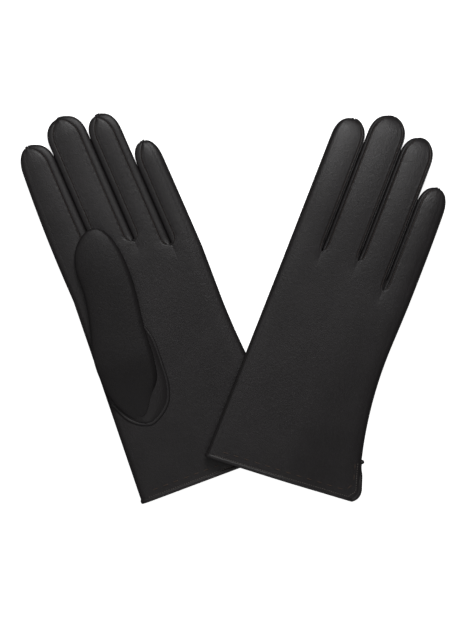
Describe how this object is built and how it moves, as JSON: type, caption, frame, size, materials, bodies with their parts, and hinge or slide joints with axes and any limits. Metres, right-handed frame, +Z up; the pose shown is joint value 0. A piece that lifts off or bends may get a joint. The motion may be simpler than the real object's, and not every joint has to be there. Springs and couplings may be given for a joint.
{
  "type": "leather gloves",
  "caption": "Pair of slim lined leather dress gloves, one palm up and one back up, with fourchette fingers, sewn-in thumbs, bound cuffs and a vent.",
  "frame": {"origin": "on the table, under the middle of the pair's outline", "axes": "+X to the side of the right glove, +Y towards the fingertips, +Z up from the table"},
  "size_m": [0.2755, 0.252, 0.0177],
  "materials": {
    "glove_leather": "smooth black-brown nappa, satin",
    "side_leather": "smooth black-brown nappa, satin",
    "binding_leather": "rolled nappa binding, satin",
    "lining": "fine black knitted lining, matt",
    "thread": "brown-black sewing thread"
  },
  "bodies": {
    "left_hand": {"left_trank": "glove_leather", "left_cuff_binding": "binding_leather", "left_cuff_stitches": "thread", "left_hand_lining": "lining", "left_root_fourchettes": "side_leather", "left_thumb_base": "glove_leather"},
    "left_thumb": {"left_thumb": "glove_leather", "left_thumb_lining": "lining"},
    "left_thumb_end": {"left_thumb_tip": "glove_leather"},
    "left_index_finger": {"left_index_middle": "glove_leather", "left_index_middle_fourchettes": "side_leather", "left_index_finger_lining": "lining"},
    "left_index_end": {"left_index_tip": "glove_leather", "left_index_tip_fourchettes": "side_leather"},
    "left_middle_finger": {"left_middle_middle": "glove_leather", "left_middle_middle_fourchettes": "side_leather", "left_middle_finger_lining": "lining"},
    "left_middle_end": {"left_middle_tip": "glove_leather", "left_middle_tip_fourchettes": "side_leather"},
    "left_ring_finger": {"left_ring_middle": "glove_leather", "left_ring_middle_fourchettes": "side_leather", "left_ring_finger_lining": "lining"},
    "left_ring_end": {"left_ring_tip": "glove_leather", "left_ring_tip_fourchettes": "side_leather"},
    "left_little_finger": {"left_little_middle": "glove_leather", "left_little_middle_fourchettes": "side_leather", "left_little_finger_lining": "lining"},
    "left_little_end": {"left_little_tip": "glove_leather", "left_little_tip_fourchettes": "side_leather"},
    "right_hand": {"right_trank": "glove_leather", "right_cuff_binding": "binding_leather", "right_cuff_stitches": "thread", "right_hand_lining": "lining", "right_root_fourchettes": "side_leather", "right_thumb_base": "glove_leather"},
    "right_thumb": {"right_thumb": "glove_leather", "right_thumb_lining": "lining"},
    "right_thumb_end": {"right_thumb_tip": "glove_leather"},
    "right_index_finger": {"right_index_middle": "glove_leather", "right_index_middle_fourchettes": "side_leather", "right_index_finger_lining": "lining"},
    "right_index_end": {"right_index_tip": "glove_leather", "right_index_tip_fourchettes": "side_leather"},
    "right_middle_finger": {"right_middle_middle": "glove_leather", "right_middle_middle_fourchettes": "side_leather", "right_middle_finger_lining": "lining"},
    "right_middle_end": {"right_middle_tip": "glove_leather", "right_middle_tip_fourchettes": "side_leather"},
    "right_ring_finger": {"right_ring_middle": "glove_leather", "right_ring_middle_fourchettes": "side_leather", "right_ring_finger_lining": "lining"},
    "right_ring_end": {"right_ring_tip": "glove_leather", "right_ring_tip_fourchettes": "side_leather"},
    "right_little_finger": {"right_little_middle": "glove_leather", "right_little_middle_fourchettes": "side_leather", "right_little_finger_lining": "lining"},
    "right_little_end": {"right_little_tip": "glove_leather", "right_little_tip_fourchettes": "side_leather"}
  },
  "joints": [
    {"name": "left_thumb_root", "type": "hinge", "parent": "left_hand", "child": "left_thumb", "pos_m": [-0.06286, -0.04653, 0.0167], "axis": [0.9171, 0.3987, 0], "range_deg": [0, 75]},
    {"name": "left_thumb_joint", "type": "hinge", "parent": "left_thumb", "child": "left_thumb_end", "pos_m": [-0.07327, 0.00129, 0.0167], "axis": [0.9171, 0.3987, 0], "range_deg": [0, 50]},
    {"name": "left_index_first_joint", "type": "hinge", "parent": "left_hand", "child": "left_index_finger", "pos_m": [-0.10679, 0.04887, 0.009], "axis": [0.9171, 0.3987, 0], "range_deg": [0, 90]},
    {"name": "left_index_second_joint", "type": "hinge", "parent": "left_index_finger", "child": "left_index_end", "pos_m": [-0.11756, 0.07363, 0.009], "axis": [0.9171, 0.3987, 0], "range_deg": [0, 70]},
    {"name": "left_middle_first_joint", "type": "hinge", "parent": "left_hand", "child": "left_middle_finger", "pos_m": [-0.08414, 0.06199, 0.009], "axis": [0.9171, 0.3987, 0], "range_deg": [0, 90]},
    {"name": "left_middle_second_joint", "type": "hinge", "parent": "left_middle_finger", "child": "left_middle_end", "pos_m": [-0.0969, 0.09133, 0.009], "axis": [0.9171, 0.3987, 0], "range_deg": [0, 70]},
    {"name": "left_ring_first_joint", "type": "hinge", "parent": "left_hand", "child": "left_ring_finger", "pos_m": [-0.061, 0.06769, 0.009], "axis": [0.9171, 0.3987, 0], "range_deg": [0, 90]},
    {"name": "left_ring_second_joint", "type": "hinge", "parent": "left_ring_finger", "child": "left_ring_end", "pos_m": [-0.07336, 0.09612, 0.009], "axis": [0.9171, 0.3987, 0], "range_deg": [0, 70]},
    {"name": "left_little_first_joint", "type": "hinge", "parent": "left_hand", "child": "left_little_finger", "pos_m": [-0.03913, 0.06629, 0.009], "axis": [0.9171, 0.3987, 0], "range_deg": [0, 90]},
    {"name": "left_little_second_joint", "type": "hinge", "parent": "left_little_finger", "child": "left_little_end", "pos_m": [-0.0483, 0.08739, 0.009], "axis": [0.9171, 0.3987, 0], "range_deg": [0, 70]},
    {"name": "right_glove_lift", "type": "slide", "parent": "left_hand", "child": "right_hand", "axis": [0, 0, 1], "range_m": [0, 0.1]},
    {"name": "right_thumb_root", "type": "hinge", "parent": "right_hand", "child": "right_thumb", "pos_m": [0.0346, -0.03382, 0.0005], "axis": [-0.9317, 0.3633, 0], "range_deg": [0, 75]},
    {"name": "right_thumb_joint", "type": "hinge", "parent": "right_thumb", "child": "right_thumb_end", "pos_m": [0.05531, 0.00963, 0.0005], "axis": [-0.9317, 0.3633, 0], "range_deg": [0, 50]},
    {"name": "right_index_first_joint", "type": "hinge", "parent": "right_hand", "child": "right_index_finger", "pos_m": [0.05928, 0.06926, 0.0082], "axis": [-0.9317, 0.3633, 0], "range_deg": [0, 90]},
    {"name": "right_index_second_joint", "type": "hinge", "parent": "right_index_finger", "child": "right_index_end", "pos_m": [0.06909, 0.09442, 0.0082], "axis": [-0.9317, 0.3633, 0], "range_deg": [0, 70]},
    {"name": "right_middle_first_joint", "type": "hinge", "parent": "right_hand", "child": "right_middle_finger", "pos_m": [0.08157, 0.06379, 0.0082], "axis": [-0.9317, 0.3633, 0], "range_deg": [0, 90]},
    {"name": "right_middle_second_joint", "type": "hinge", "parent": "right_middle_finger", "child": "right_middle_end", "pos_m": [0.09319, 0.09361, 0.0082], "axis": [-0.9317, 0.3633, 0], "range_deg": [0, 70]},
    {"name": "right_ring_first_joint", "type": "hinge", "parent": "right_hand", "child": "right_ring_finger", "pos_m": [0.10131, 0.0518, 0.0082], "axis": [-0.9317, 0.3633, 0], "range_deg": [0, 90]},
    {"name": "right_ring_second_joint", "type": "hinge", "parent": "right_ring_finger", "child": "right_ring_end", "pos_m": [0.11257, 0.08068, 0.0082], "axis": [-0.9317, 0.3633, 0], "range_deg": [0, 70]},
    {"name": "right_little_first_joint", "type": "hinge", "parent": "right_hand", "child": "right_little_finger", "pos_m": [0.11678, 0.03504, 0.0082], "axis": [-0.9317, 0.3633, 0], "range_deg": [0, 90]},
    {"name": "right_little_second_joint", "type": "hinge", "parent": "right_little_finger", "child": "right_little_end", "pos_m": [0.12513, 0.05647, 0.0082], "axis": [-0.9317, 0.3633, 0], "range_deg": [0, 70]}
  ]
}
